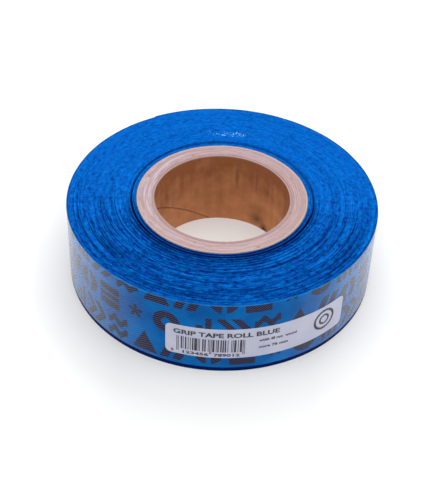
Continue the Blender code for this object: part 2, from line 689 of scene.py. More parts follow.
@dataclass
class MarkDrawing:
    """Outlines of the marks in one cell, each as the distance from its edge in millimetres.

    The distance is negative inside a mark. right and up are counted from the middle of the cell.
    """

    graph: Graph
    right: Socket
    up: Socket
    half_tall: float = 7.4
    half_broad: float = 6.9
    stroke: float = 2.4

    def __post_init__(self) -> None:
        """Measures what most marks need."""
        self.side = self.graph.unsigned(self.right)
        self.level = self.graph.unsigned(self.up)
        self.tall = self.graph.minus(self.level, self.half_tall)
        self.broad = self.graph.minus(self.side, self.half_broad)

    def outline(self, motif: Motif) -> Socket:
        """Draws one mark.

        Args:
            motif: which one.

        Returns:
            The distance from its edge.
        """
        drawn = {
            Motif.RING: self.ring,
            Motif.RISING_BARS: self.rising_bars,
            Motif.DOUBLE_CHEVRON: self.double_chevron,
            Motif.WAVES: self.waves,
            Motif.TRIANGLE: self.triangle,
            Motif.SLANTED_BARS: self.slanted_bars,
            Motif.SPLIT_RING: self.split_ring,
            Motif.LADDER: self.ladder,
            Motif.SPARK: self.spark,
        }
        return drawn[motif]()

    def stroke_on(self, position: Socket, line: float) -> Socket:
        """Distance from the edge of a bold stroke that runs along a line."""
        offset = self.graph.unsigned(self.graph.minus(position, line))
        return self.graph.minus(offset, self.stroke)

    def ring(self, half_slit: float = 0.0) -> Socket:
        """Draws a bold ring, parted from top to foot by a hairline or a slit."""
        band = self.stroke_on(self.graph.length(self.right, self.up), self.half_tall - self.stroke)
        return self.graph.larger(band, self.graph.minus(half_slit, self.side))

    def split_ring(self) -> Socket:
        """Draws a ring in two halves."""
        return self.ring(half_slit=1.2)

    def rising_bars(self) -> Socket:
        """Draws three upright bars, each taller than the one to its left.

        Returns:
            The distance from their edges.
        """
        pitch = 4.6
        half_bar = 1.6
        rise = 4.9
        counted = self.graph.scaled(self.right, 1.0 / pitch, 1.5)
        across = self.graph.minus(self.graph.math("FRACT", counted), 0.5)
        across = self.graph.scaled(self.graph.unsigned(across), pitch, -half_bar)
        top = self.graph.scaled(self.graph.math("FLOOR", counted), rise, -2.5)
        bar = self.graph.larger(across, self.graph.minus(self.up, top))
        return self.graph.larger(self.graph.larger(bar, self.tall), self.broad)

    def double_chevron(self) -> Socket:
        """Draws two arrowheads that point to the right.

        Returns:
            The distance from their edges.
        """
        slope = self.graph.scaled(self.level, 0.85, self.right)
        apart = self.graph.unsigned(self.graph.minus(slope, 3.0))
        return self.graph.larger(self.stroke_on(apart, 3.9), self.tall)

    def waves(self) -> Socket:
        """Draws two wavy lines, one above the other.

        Returns:
            The distance from their edges.
        """
        swing = self.graph.math("SINE", self.graph.times(self.right, 0.8))
        line = self.graph.unsigned(self.graph.scaled(swing, 1.8, self.up))
        return self.graph.larger(self.stroke_on(line, 4.0), self.broad)

    def triangle(self) -> Socket:
        """Draws a filled triangle that stands on its base.

        Returns:
            The distance from its edge.
        """
        slope = self.graph.scaled(self.side, 0.88, -3.3)
        slope = self.graph.scaled(self.up, 0.46, slope)
        outer = self.graph.larger(slope, self.graph.minus(-self.half_tall, self.up))
        return self.stroke_on(outer, -self.stroke)

    def slanted_bars(self) -> Socket:
        """Draws two bars that lean to the right."""
        slope = self.graph.unsigned(self.graph.scaled(self.up, -0.4, self.right))
        return self.graph.larger(self.stroke_on(slope, 3.5), self.tall)

    def ladder(self) -> Socket:
        """Draws three level bars, one above the other.

        Returns:
            The distance from their edges.
        """
        outer = self.stroke_on(self.level, self.half_tall - self.stroke)
        bars = self.graph.math("MINIMUM", outer, self.graph.minus(self.level, 1.6))
        return self.graph.larger(bars, self.broad)

    def spark(self) -> Socket:
        """Draws a small star with five petals.

        Returns:
            The distance from its edge.
        """
        angle = self.graph.times(self.graph.math("ARCTAN2", self.right, self.up), 5.0)
        petal = self.graph.scaled(self.graph.math("COSINE", angle), 1.5, 3.2)
        return self.graph.minus(self.graph.length(self.right, self.up), petal)


@dataclass(frozen=True)
class PrintRows:
    """Rows of plain bold marks, printed one after another along the film, in millimetres."""

    row_pitch: float = 18.7
    mark_pitch: float = 17.6
    first_row: float = 31.0
    first_mark: float = -26.3
    row_shift: float = 5.3
    row_step: float = 4.0
    raggedness: float = 1.2
    soft_edge: float = 0.4

    def build(self, open_group: Callable) -> None:
        """Makes the node group.

        Args:
            open_group: starts a node group.
        """
        inputs = {"Place": (0.0, 0.0, 0.0), "Ragged": 0.5}
        graph, given, taken = open_group(SharedEffects.PRINT, inputs, ("Ink",))
        arc, _, height = graph.parts(given["Place"])
        row, up = self.cell(graph, height, self.row_pitch, self.first_row)
        shifted = graph.scaled(row, self.row_shift * MM, arc)
        mark, right = self.cell(graph, shifted, self.mark_pitch, self.first_mark)
        order = graph.scaled(row, self.row_step, mark)
        order = graph.math("FLOORED_MODULO", order, float(len(Motif)))
        drawing = MarkDrawing(graph, right, up)
        total: Value = 0.0
        for motif in Motif:
            chosen = graph.math("COMPARE", order, float(motif.value), 0.5)
            total = graph.scaled(chosen, drawing.outline(motif), total)
        ragged = graph.scaled(given["Ragged"], self.raggedness, total)
        base = 0.5 + 0.5 * self.raggedness / self.soft_edge
        graph.feed(taken["Ink"], graph.clamp(graph.scaled(ragged, -1.0 / self.soft_edge, base)))

    @staticmethod
    def cell(graph: Graph, position: Socket, pitch: float, middle: float) -> tuple[Socket, Socket]:
        """Finds the cell that a position lies in.

        Args:
            graph: where the nodes go.
            position: distance in metres.
            pitch: length of a cell in millimetres.
            middle: middle of cell 0 in millimetres.

        Returns:
            The cell's number, and the distance from its middle in millimetres.
        """
        counted = graph.scaled(position, 1.0 / (pitch * MM), 0.5 - middle / pitch)
        share = graph.minus(graph.math("FRACT", counted), 0.5)
        return graph.math("FLOOR", counted), graph.times(share, pitch)


# ---------------------------------------------------------------- finishes


def open_material(
    name: str, slot: Slot | None = None
) -> tuple[bpy.types.Material, Graph, bpy.types.Node]:
    """Starts a material with one principled surface.

    Args:
        name: name of the material.
        slot: slot of the record that it belongs to, where it has one.

    Returns:
        The material, its graph and its surface node.
    """
    material = bpy.data.materials.new(name)
    material.use_nodes = True
    if slot is not None:
        material["slot"] = slot.value
    surface = material.node_tree.nodes["Principled BSDF"]
    return material, Graph(material.node_tree), surface


@dataclass(frozen=True)
class GripBandFinish:
    """Foamed blue grip band, seen on its cut edges and its foot.

    The front half of the upper face is more mottled than the back.
    """

    shade: Color = (0.0, 0.022, 0.20, 1.0)
    body: Color = (0.001, 0.140, 0.58, 1.0)
    bright: Color = (0.004, 0.250, 0.88, 1.0)
    violet: Color = (0.008, 0.070, 0.60, 1.0)
    crevice: Color = (0.0, 0.010, 0.10, 1.0)
    sheen: Color = (0.0, 0.30, 1.0, 1.0)
    glint: Color = (0.16, 0.56, 0.88, 1.0)
    glint_middle: tuple[float, float] = (5.0 * MM, 60.0 * MM)
    glint_half: tuple[float, float] = (19.0 * MM, 4.5 * MM)
    blotches: float = 420.0
    specks: float = 1500.0
    front_reach: float = 35.0 * MM
    pore_depth: float = 0.12 * MM

    def material(self) -> bpy.types.Material:
        """Builds the material.

        Returns:
            The material.
        """
        material, graph, surface = open_material("grip_band_foam", Slot.BAND)
        place = graph.layer(Layer.FLAT)
        mottle = graph.effect(
            SharedEffects.MOTTLING, Place=place, Blotches=self.blotches, Specks=self.specks
        )
        blotch = mottle.outputs["Blotch"]
        speck = mottle.outputs["Speck"]
        front = graph.contrast(graph.parts(place)[1], self.front_reach, -self.front_reach)
        color = self.mottled(graph, blotch, speck, front)
        patches = graph.contrast(graph.noise(place, 250.0, 2.0), 0.55, 0.72)
        violet = graph.times(patches, graph.scaled(front, 0.50, 0.30))
        color = graph.mix(violet, color, self.violet)
        # Painted shade in the crevices between the turns and at the band's foot.
        color = graph.in_crevices(color, self.crevice, speck, 0.62)
        # Painted glints in the base colour, with a real coat on them.
        painted_glints = self.painted_glints(graph, place)
        graph.feed_inputs(
            surface,
            Base_Color=graph.mix(painted_glints, color, self.glint),
            Roughness=graph.scaled(blotch, 0.18, 0.40),
            Specular_IOR_Level=0.02,
            Specular_Tint=self.sheen,
            Coat_Weight=painted_glints,
            Coat_Roughness=0.2,
            Normal=graph.bump(graph.scaled(speck, 0.5, blotch), self.pore_depth, 0.7),
        )
        return material

    def mottled(self, graph: Graph, blotch: Socket, speck: Socket, front: Socket) -> Socket:
        """Colours the foam by its turns, blotches and specks.

        Args:
            graph: where the nodes go.
            blotch: large noise.
            speck: fine noise.
            front: 1 at the front of the roll and 0 at its back.

        Returns:
            The colour.
        """
        blotted = graph.times(blotch, graph.scaled(front, 0.14, 0.28))
        mixed = graph.scaled(graph.layer(Layer.TONE), 0.60, blotted)
        fine = graph.times(graph.minus(speck, 0.5), graph.scaled(front, 0.48, 0.20))
        mixed = graph.math("ADD", mixed, graph.math("ADD", fine, 0.07))
        stops = [(0.14, self.shade), (0.46, self.body), (0.58, self.body), (0.86, self.bright)]
        return graph.ramp(mixed, stops)

    def painted_glints(self, graph: Graph, place: Socket) -> Socket:
        """Scatters painted glints over one patch of the upper face, which also get a real coat.

        Args:
            graph: where the nodes go.
            place: place on the face, seen from above.

        Returns:
            A share, 1 on a glint.
        """
        aside, beyond = (
            graph.over(graph.minus(way, middle), half)
            for way, middle, half in zip(graph.parts(place), self.glint_middle, self.glint_half)
        )
        lit = graph.clamp(graph.minus(1.2, graph.length(aside, beyond)))
        return graph.contrast(graph.scaled(lit, 0.25, graph.noise(place, 1100.0, 1.0)), 0.81, 0.88)


@dataclass(frozen=True)
class PrintedFilmFinish:
    """Clear embossed release film over the blue band, with dark print on it."""

    wetted: Color = (0.0, 0.093, 0.36, 1.0)
    loose: Color = (0.0, 0.165, 0.53, 1.0)
    haze: Color = (0.04, 0.26, 0.60, 1.0)
    ink: Color = (0.020, 0.012, 0.016, 1.0)
    ink_thin: Color = (0.125, 0.075, 0.085, 1.0)
    lit_edge: Color = (0.06, 0.38, 0.80, 1.0)
    lit_from: float = 47.1 * MM
    lit_full: float = 47.6 * MM
    sheen: Color = (0.0, 0.30, 1.0, 1.0)
    emboss_pitch: float = 1.45 * MM
    emboss_depth: float = 0.16 * MM
    gloss_from: float = 0.38
    gloss_gain: float = 4.2

    def material(self) -> bpy.types.Material:
        """Builds the material.

        Returns:
            The material.
        """
        material, graph, surface = open_material("printed_release_film", Slot.FILM)
        place = graph.layer(Layer.FLAT)
        emboss = graph.effect(SharedEffects.EMBOSS, Place=place, Pitch=self.emboss_pitch)
        furrow = emboss.outputs["Furrow"]
        grain = graph.effect(SharedEffects.GRAIN, Place=place, Fibres=1100.0, Clouds=45.0)
        facing = graph.node("ShaderNodeLayerWeight").outputs["Facing"]
        gloss = graph.clamp(graph.times(graph.minus(facing, self.gloss_from), self.gloss_gain))
        height = graph.scaled(grain.outputs["Cloud"], 0.6, emboss.outputs["Height"])
        normal = graph.bump(height, self.emboss_depth, 1.0)
        graph.feed_inputs(
            surface,
            Base_Color=self.color(graph, place, grain, furrow),
            Roughness=graph.scaled(furrow, 0.12, 0.26),
            Specular_IOR_Level=0.05,
            Specular_Tint=self.sheen,
            Coat_Weight=graph.times(gloss, graph.scaled(furrow, -0.30, 1.0)),
            Coat_Roughness=0.16,
            Coat_IOR=1.7,
            Normal=normal,
            Coat_Normal=normal,
        )
        return material

    def color(self, graph: Graph, place: Socket, grain: bpy.types.Node, furrow: Socket) -> Socket:
        """Colours the film: the band behind it, its print, and a painted highlight along its upper
        edge.

        Args:
            graph: where the nodes go.
            place: place on the film, rolled out flat.
            grain: the film's noise.
            furrow: 1 in the furrows of the emboss.

        Returns:
            The colour.
        """
        clouds = graph.contrast(grain.outputs["Cloud"], 0.35, 0.65)
        color = graph.mix(clouds, self.wetted, self.loose)
        color = graph.mix(graph.times(furrow, 0.18), color, self.haze)
        rows = graph.effect(SharedEffects.PRINT, Place=place, Ragged=grain.outputs["Fibre"])
        ink = graph.mix(graph.times(furrow, 0.7), self.ink, self.ink_thin)
        cover = graph.scaled(furrow, -0.26, 0.97)
        color = graph.mix(graph.times(rows.outputs["Ink"], cover), color, ink)
        # Painted highlight along the film's upper edge.
        edge = graph.contrast(graph.parts(place)[2], self.lit_from, self.lit_full)
        edge = graph.times(edge, graph.scaled(clouds, 0.5, 0.3))
        return graph.mix(edge, color, self.lit_edge)


@dataclass(frozen=True)
class Stain:
    """A soft dark mark on the bore: its azimuth in degrees, its other sizes in millimetres."""

    azimuth: float
    height: float
    half_arc: float
    half_height: float
    depth: float


@dataclass(frozen=True)
class KraftFinish:
    """Brown kraft paper of the core's liners, paler where it is cut at the rim."""

    name: str
    dark: Color
    light: Color
    cut_edge: Color
    cut_from: float
    shade_upwards: float = 4.0
    stains: tuple[Stain, ...] = ()
    stain_color: Color = (0.07, 0.022, 0.008, 1.0)
    fibre_depth: float = 0.06 * MM

    def material(self) -> bpy.types.Material:
        """Builds the material.

        Returns:
            The material.
        """
        material, graph, surface = open_material(self.name, Slot.KRAFT)
        place = graph.layer(Layer.FLAT)
        grain = graph.effect(SharedEffects.GRAIN, Place=place, Fibres=1300.0, Clouds=90.0)
        fibre = grain.outputs["Fibre"]
        upright = graph.noise(graph.stretch(place, (1.0, 1.0, 0.12)), 230.0)
        arc, _, height = graph.parts(place)
        shade = graph.times(grain.outputs["Cloud"], 0.55)
        shade = graph.scaled(upright, 0.30, shade)
        shade = graph.scaled(fibre, 0.15, shade)
        # Painted shade: the paper is darker towards the top, most in the bore.
        shade = graph.scaled(height, -self.shade_upwards, shade)
        color = graph.mix(graph.contrast(shade, 0.0, 0.75), self.dark, self.light)
        for stain in self.stains:
            share = self.mask(graph, stain, arc, height, upright)
            color = graph.mix(share, color, self.stain_color)
        color = graph.in_crevices(color, self.stain_color, fibre, 0.8)
        cut = graph.minus(graph.scaled(fibre, 0.5 * MM, height), self.cut_from)
        cut = graph.clamp(graph.times(cut, 1.6 / MM))
        graph.feed_inputs(
            surface,
            Base_Color=graph.mix(cut, color, self.cut_edge),
            Roughness=graph.scaled(fibre, 0.2, 0.55),
            Specular_IOR_Level=0.35,
            Normal=graph.bump(fibre, self.fibre_depth, 0.8),
        )
        return material

    @staticmethod
    def mask(graph: Graph, stain: Stain, arc: Socket, height: Socket, ragged: Socket) -> Socket:
        """Strength of one soft mark.

        Args:
            graph: where the nodes go.
            stain: the mark.
            arc: distance along the strip.
            height: distance above the foot.
            ragged: noise that breaks the mark's edge.

        Returns:
            A share from 0 to the mark's depth.
        """
        middle = (math.radians(stain.azimuth) - FACING) * BORE_RADIUS
        across = graph.over(graph.minus(arc, middle), stain.half_arc * MM)
        up = graph.over(graph.minus(height, stain.height * MM), stain.half_height * MM)
        reach = graph.minus(1.15, graph.length(across, up))
        reach = graph.scaled(ragged, 0.8, graph.minus(reach, 0.4))
        return graph.times(graph.clamp(reach), stain.depth)


@dataclass(frozen=True)
class BoardFinish:
    """Pinkish grey board plies, cut across at the rim."""

    grey: Color = (0.36, 0.245, 0.255, 1.0)
    pink: Color = (0.52, 0.365, 0.355, 1.0)
    lavender: Color = (0.53, 0.45, 0.51, 1.0)
    orange: Color = (0.50, 0.295, 0.215, 1.0)
    worn_and_shaded: Color = (0.27, 0.165, 0.165, 1.0)
    crevice: Color = (0.25, 0.14, 0.115, 1.0)
    clean_half: float = 2.3 * MM
    inner_edge_reach: float = 1.9 * MM
    fibre_depth: float = 0.15 * MM

    def material(self) -> bpy.types.Material:
        """Builds the material.

        Returns:
            The material.
        """
        material, graph, surface = open_material("core_board_cut_rim", Slot.BOARD)
        place = graph.layer(Layer.FLAT)
        grain = graph.effect(SharedEffects.GRAIN, Place=place, Fibres=1700.0, Clouds=150.0)
        fibre = grain.outputs["Fibre"]
        arc, radius, _ = graph.parts(place)
        azimuth = graph.over(arc, radius)
        rightward = graph.math("SINE", azimuth)
        forward = graph.math("COSINE", azimuth)
        shade = graph.times(fibre, 0.5)
        shade = graph.scaled(grain.outputs["Cloud"], 0.4, shade)
        shade = graph.scaled(graph.layer(Layer.TONE), 0.15, shade)
        # Painted shade: the rim is a little darker towards the back.
        shade = graph.scaled(forward, 0.05, shade)
        color = graph.mix(graph.contrast(shade, 0.31, 0.80), self.grey, self.pink)
        # Painted highlight: pale lavender patches, mostly on the left half of the rim.
        patches = graph.noise(place, 55.0, 2.0)
        pale = graph.contrast(patches, 0.48, 0.66)
        pale = graph.times(pale, graph.clamp(graph.scaled(rightward, -0.45, 0.5)))
        color = graph.mix(pale, color, self.lavender)
        rims = graph.times(
            self.near_walls(graph, radius, patches), graph.clamp(graph.scaled(rightward, 0.45, 0.6))
        )
        color = graph.mix(rims, color, self.orange)
        # Partly wear and partly painted shade: the rim's rounded inner edge is darker, most at the
        # front.
        inner = graph.times(
            self.near_bore(graph, radius, fibre), graph.clamp(graph.scaled(forward, 0.55, 0.35))
        )
        color = graph.mix(inner, color, self.worn_and_shaded)
        graph.feed_inputs(
            surface,
            Base_Color=graph.in_crevices(color, self.crevice, fibre, 1.0),
            Roughness=graph.scaled(fibre, 0.15, 0.75),
            Specular_IOR_Level=0.25,
            Normal=graph.bump(fibre, self.fibre_depth, 0.9),
        )
        return material

    def near_walls(self, graph: Graph, radius: Socket, patches: Socket) -> Socket:
        """Finds the parts of the rim that lie close to the core's inner and outer wall.

        Args:
            graph: where the nodes go.
            radius: distance from the roll's axis.
            patches: noise that moves the edge.

        Returns:
            A share, 1 at the walls.
        """
        away = graph.unsigned(graph.minus(radius, 0.5 * (BORE_RADIUS + CORE_RADIUS)))
        away = graph.minus(graph.scaled(patches, -1.6 * MM, away), self.clean_half)
        return graph.clamp(graph.times(away, 0.75 / MM))

    def near_bore(self, graph: Graph, radius: Socket, fibre: Socket) -> Socket:
        """Finds the rounded inner edge of the rim at the bore, which is worn and painted with shade.

        Args:
            graph: where the nodes go.
            radius: distance from the roll's axis.
            fibre: noise that breaks the edge.

        Returns:
            A share, 1 at the bore.
        """
        inward = graph.minus(BORE_RADIUS + self.inner_edge_reach, radius)
        return graph.clamp(graph.times(graph.scaled(fibre, 1.4 * MM, inward), 0.9 / MM))


@dataclass(frozen=True)
class LabelPaperFinish:
    """Pale coated label paper."""

    cool: Color = (0.50, 0.52, 0.68, 1.0)
    warm: Color = (0.62, 0.63, 0.76, 1.0)
    ripple_depth: float = 0.08 * MM

    def material(self) -> bpy.types.Material:
        """Builds the material.

        Returns:
            The material.
        """
        material, graph, surface = open_material("label_coated_paper", Slot.LABEL)
        place = graph.layer(Layer.FLAT)
        grain = graph.effect(SharedEffects.GRAIN, Place=place, Fibres=2400.0, Clouds=70.0)
        shade = graph.times(grain.outputs["Fibre"], 0.35)
        shade = graph.scaled(grain.outputs["Cloud"], 0.65, shade)
        graph.feed_inputs(
            surface,
            Base_Color=graph.mix(graph.contrast(shade, 0.3, 0.7), self.cool, self.warm),
            Roughness=graph.scaled(grain.outputs["Fibre"], 0.12, 0.36),
            Normal=graph.bump(grain.outputs["Cloud"], self.ripple_depth, 0.6),
        )
        return material


@dataclass(frozen=True)
class LabelInkFinish:
    """Dark thermal print on the label."""

    solid: Color = (0.010, 0.010, 0.022, 1.0)
    faded: Color = (0.060, 0.060, 0.090, 1.0)

    def material(self) -> bpy.types.Material:
        """Builds the material.

        Returns:
            The material.
        """
        material, graph, surface = open_material("label_thermal_ink", Slot.LABEL)
        place = graph.layer(Layer.FLAT)
        grain = graph.effect(SharedEffects.GRAIN, Place=place, Fibres=1500.0, Clouds=220.0)
        shade = graph.contrast(grain.outputs["Cloud"], 0.35, 0.7)
        graph.feed_inputs(
            surface,
            Base_Color=graph.mix(shade, self.solid, self.faded),
            Roughness=graph.scaled(grain.outputs["Fibre"], 0.15, 0.45),
        )
        return material


# ---------------------------------------------------------------- the roll's sub-assemblies


def dress(piece: bpy.types.Object, material: bpy.types.Material) -> None:
    """Gives a piece its finish.

    Args:
        piece: the piece.
        material: its finish.
    """
    piece.data.materials.clear()
    piece.data.materials.append(material)


def report(piece: bpy.types.Object) -> None:
    """Writes one line on a finished piece to the log."""
    LOG.info("%s: %d faces", piece.name, len(piece.data.polygons))


@dataclass
class PaperCore:
    """Spiral-wound paper tube: two kraft liners and six board plies."""

    height: float = ROLL_HEIGHT
    ply_count: int = 8
    ply_gap: float = 0.01 * MM
    seam_gap: float = 0.26 * MM
    seam_rise: float = math.radians(34.0)
    first_seam: float = math.radians(101.0)
    seam_stagger: float = math.radians(137.5)
    stations: int = 181
    bevel: float = 0.04 * MM
    bevel_height: float = 0.35 * MM
    rim_reach: float = 3.0 * MM
    near_ends: tuple[float, ...] = (0.0, 0.10, 0.35, 1.2, 3.0)
    worn_plies: tuple[float, ...] = (0.45, 0.18, 0.05)

    def heights(self) -> np.ndarray:
        """Lists the heights of the points on a ply's walls, closer together near both ends.

        Returns:
            The heights, from the foot to the rim.
        """
        near = np.array(self.near_ends) * MM
        middle = np.linspace(7.5 * MM, self.height - 7.5 * MM, 8)
        return np.concatenate([near, middle, self.height - near[::-1]])

    def worn_edge(self, number: int, angle: np.ndarray) -> np.ndarray:
        """How far handling has lowered a ply's rim, in millimetres."""
        share = self.worn_plies[number] if number < len(self.worn_plies) else 0.0
        return share * (0.8 + 0.2 * np.sin(3.0 * angle))

    def ply(self, number: int, name: str, node: str) -> bpy.types.Object:
        """Builds one ply as a strip wound in a helix, open at its seam.

        Args:
            number: 0 for the inner liner, counting outwards.
            name: name of the piece.
            node: CAD node that it stands for.

        Returns:
            The piece.
        """
        uneven = Unevenness(SEED + 10 + number)
        step = (CORE_RADIUS - BORE_RADIUS) / self.ply_count
        inner = BORE_RADIUS + number * step
        outer = inner + step - self.ply_gap
        walls = self.heights()
        from_end = np.minimum(walls, self.height - walls)
        inset = self.bevel * (1.0 - eased(0.0, self.bevel_height, from_end))
        half_gap = 0.5 * self.seam_gap / inner
        turn = np.linspace(half_gap, FULL_TURN - half_gap, self.stations)
        levels = np.concatenate([walls, walls[::-1]])
        radii = np.concatenate([outer - inset, (inner + inset)[::-1]])
        seam = self.first_seam + number * self.seam_stagger
        twist = levels / (math.tan(self.seam_rise) * inner)
        angle = seam + twist[None, :] + turn[:, None]
        radius = grow(radii, self.stations)
        height = grow(levels, self.stations)
        rim = eased(self.height - self.rim_reach, self.height, height)
        turns = angle / FULL_TURN
        sag = 0.16 * uneven.along(34)(turns * 34.0)
        fuzz = uneven.random.random(angle.shape) * 0.07
        lower = 0.10 * uneven.random.random()
        height = height - rim * (sag + fuzz + lower + self.worn_edge(number, angle)) * MM
        wobble = uneven.along(26)(turns * 26.0) - 0.5
        radius = radius + rim * wobble * 0.05 * MM
        end_mask = eased(0.6 * MM, 0.0, np.minimum(turn, FULL_TURN - turn) * inner)
        wear = np.repeat(end_mask[:, None] * 0.5, len(levels), axis=1)
        tone = np.full(angle.shape, uneven.random.random())
        piece = Skin(radius, angle, height, wear=wear, tone=tone, arc_radius=inner).build(name)
        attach(piece, "roll")
        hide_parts(node)
        return piece

    def build(
        self, liner: bpy.types.Material, wrap: bpy.types.Material, board: bpy.types.Material
    ) -> None:
        """Builds and dresses every ply.

        Args:
            liner: finish of the inner liner.
            wrap: finish of the outer liner.
            board: finish of the board plies.
        """
        for number in range(self.ply_count):
            if number == 0:
                piece = self.ply(number, "core_liner_paper", "core_inner_liner")
                dress(piece, liner)
            elif number == self.ply_count - 1:
                piece = self.ply(number, "core_wrap_paper", "core_outer_liner")
                dress(piece, wrap)
            else:
                piece = self.ply(number, f"core_board_{number}", f"core_ply_{number}")
                dress(piece, board)
            report(piece)


@dataclass(frozen=True)
class Groove:
    """A slack line between two turns: where it runs in degrees, and its depth in millimetres."""

    turn: float
    middle: float
    half_run: float
    depth: float


@dataclass
class WoundBand:
    """The tightly wound turns of the band, whose edges make the roll's end faces.

    Three looser turns lie on the core, and a stretch crosses the slack gap outside them.
    """

    inner_radius: float = 51.4 * MM
    pitch: float = 2.0 / 3.0 * MM
    turns: int = 52
    blocks: int = 4
    height: float = ROLL_HEIGHT
    start: float = math.radians(120.0)
    stations: int = 401
    samples: int = 4
    clearance: float = 0.015 * MM
    back_slack: float = 0.55 * MM
    foot_share: float = 0.35
    sharp: float = 70.0
    first_count: int = 3
    first_low: float = 48.05 * MM
    first_high: float = 50.4 * MM
    first_drop: float = 0.1 * MM
    first_stations: int = 300
    crossing: tuple[float, float] = (math.radians(346.0), math.radians(407.0))
    crossing_bend: tuple[float, float] = (math.radians(358.0), math.radians(400.0))
    crossing_start: float = 50.46 * MM
    crossing_end_gap: float = 0.45 * MM
    grooves: tuple[Groove, ...] = (
        Groove(1.0, 275.0, 95.0, 0.8),
        Groove(2.0, 262.0, 80.0, 1.0),
        Groove(4.0, 285.0, 85.0, 0.9),
        Groove(5.0, 250.0, 60.0, 0.7),
        Groove(7.0, 268.0, 70.0, 0.9),
        Groove(10.0, 280.0, 60.0, 0.8),
        Groove(13.0, 250.0, 75.0, 1.0),
        Groove(17.0, 300.0, 50.0, 0.7),
        Groove(21.0, 262.0, 80.0, 0.9),
        Groove(25.0, 215.0, 35.0, 0.7),
        Groove(28.0, 285.0, 70.0, 1.0),
        Groove(32.0, 235.0, 40.0, 0.8),
        Groove(36.0, 275.0, 85.0, 1.1),
        Groove(38.0, 240.0, 50.0, 0.9),
        Groove(41.0, 290.0, 60.0, 1.1),
        Groove(44.0, 225.0, 50.0, 0.8),
        Groove(46.0, 285.0, 60.0, 1.0),
        Groove(49.0, 265.0, 75.0, 0.9),
    )

    def radius_at(self, turns_out: float | np.ndarray, share: float | np.ndarray) -> np.ndarray:
        """Radius of the winding's line, counted in turns from its inner end.

        Args:
            turns_out: whole turns from the inside.
            share: share of one turn past the start.

        Returns:
            The radius.
        """
        return self.inner_radius + self.pitch * (turns_out + share)

    @property
    def outer_start(self) -> float:
        """Radius of the winding's outside where the last turn starts."""
        return self.inner_radius + self.pitch * self.turns

    def raggedness(self, angle: np.ndarray) -> np.ndarray:
        """How uneven the turns lie: more so in the front half of the roll."""
        return 0.30 + 0.70 * eased(-0.35, 0.75, -np.sin(angle))

    def slack_lines(self, wound: np.ndarray, angle: np.ndarray) -> np.ndarray:
        """Depth of the chosen slack lines between turns.

        Args:
            wound: place along the band, counted in turns from its inner end.
            angle: azimuth of each point.

        Returns:
            The depth in millimetres.
        """
        whole = np.round(wound - (angle - self.start) / FULL_TURN)
        depth = np.zeros(angle.shape)
        for groove in self.grooves:
            away = (angle - math.radians(groove.middle) + math.pi) % FULL_TURN - math.pi
            run = 1.0 - eased(0.6, 1.0, np.abs(away) / math.radians(groove.half_run))
            depth = depth + (np.abs(whole - groove.turn) < 0.3) * run * groove.depth
        return depth

    def relief(
        self, wound: np.ndarray, angle: np.ndarray, part: np.ndarray, seed: int
    ) -> tuple[np.ndarray, np.ndarray]:
        """Depth of the end face below its highest turns.

        Args:
            wound: place along the band, counted in turns from its inner end.
            angle: azimuth of each point.
            part: share of a turn's thickness, 0 at the line between two turns.
            seed: number that fixes the unevenness.

        Returns:
            The depth in metres, and a tone from 0 to 1 along each turn.
        """
        uneven = Unevenness(seed)
        level = uneven.along(1400)(wound * 16.0)
        ripple = uneven.along(5200)(wound * 83.0)
        slack = uneven.along(900)(wound * 7.0)
        waves = uneven.across(19, 26)
        rough = self.raggedness(angle)
        around = angle / FULL_TURN
        wave = waves(wound * 0.33, around * 26.0)
        on_line = np.abs(part) < 0.01
        near_line = (np.minimum(part, 1.0 - part) < 0.3) & ~on_line
        gap = 0.16 + 1.3 * rough * np.clip(slack - 0.55, 0.0, 1.0)
        gap = gap + self.slack_lines(wound, angle)
        shoulder = 0.05 + 0.25 * np.clip(gap - 0.3, 0.0, 1.0)
        depth = rough * (0.16 * level + 0.10 * ripple + 0.30 * wave)
        depth = depth + np.where(on_line, gap, 0.0) + np.where(near_line, shoulder, 0.0)
        streak = uneven.along(2600)(wound * 37.0)
        turn_tone = uneven.along(400)(wound * 5.0)
        patch = uneven.across(67, 190)(wound * 0.9, around * 190.0)
        tone = 0.26 * turn_tone + 0.22 * streak + 0.08 * wave + 0.44 * patch
        # Tone has more contrast where the turns are rougher, and the calmer back is a little darker.
        tone = 0.51 + (tone - 0.5) * (0.40 + 2.3 * rough) - 0.03 * (1.0 - rough)
        return depth * MM, tone

    def block(self, number: int) -> bpy.types.Object:
        """Builds one stretch of turns.

        Args:
            number: 0 for the innermost stretch.

        Returns:
            The piece.
        """
        per_block = self.turns // self.blocks
        lines = per_block * self.samples
        column = np.arange(lines, -1, -1)
        every_other = np.arange(0, lines + 1, 2)
        loop = np.concatenate([column, every_other]) / self.samples + number * per_block
        share = np.linspace(0.0, 1.0, self.stations)
        angle = np.repeat((self.start + FULL_TURN * share)[:, None], len(loop), axis=1)
        wound = loop[None, :] + share[:, None]
        radius = self.radius_at(loop[None, :], share[:, None])
        if number == 0:
            slack = self.back_slack * eased(-0.3, 1.0, np.sin(angle))
            radius = radius + slack * (1.0 - loop[None, :] / per_block) ** 2
        radius[:, 0] -= self.clearance
        radius[:, lines] += self.clearance
        part = grow(loop - np.floor(loop + 1e-6), self.stations)
        depth_top, tone = self.relief(wound, angle, part, SEED + 70)
        depth_foot, tone_foot = self.relief(wound, angle, part, SEED + 71)
        is_top = np.arange(len(loop)) < len(column)
        height = np.where(is_top, self.height - depth_top, self.foot_share * depth_foot)
        # Painted shade: the deeper a point lies in the relief, the darker it is painted.
        wear = np.clip(np.where(is_top, depth_top, depth_foot) / (1.3 * MM), 0.0, 1.0)
        tone = np.where(is_top, tone, tone_foot)
        skin = Skin(radius, angle, height, wear=wear, tone=tone, from_above=True, sharp=self.sharp)
        return skin.build(f"band_winding_{number + 1}")

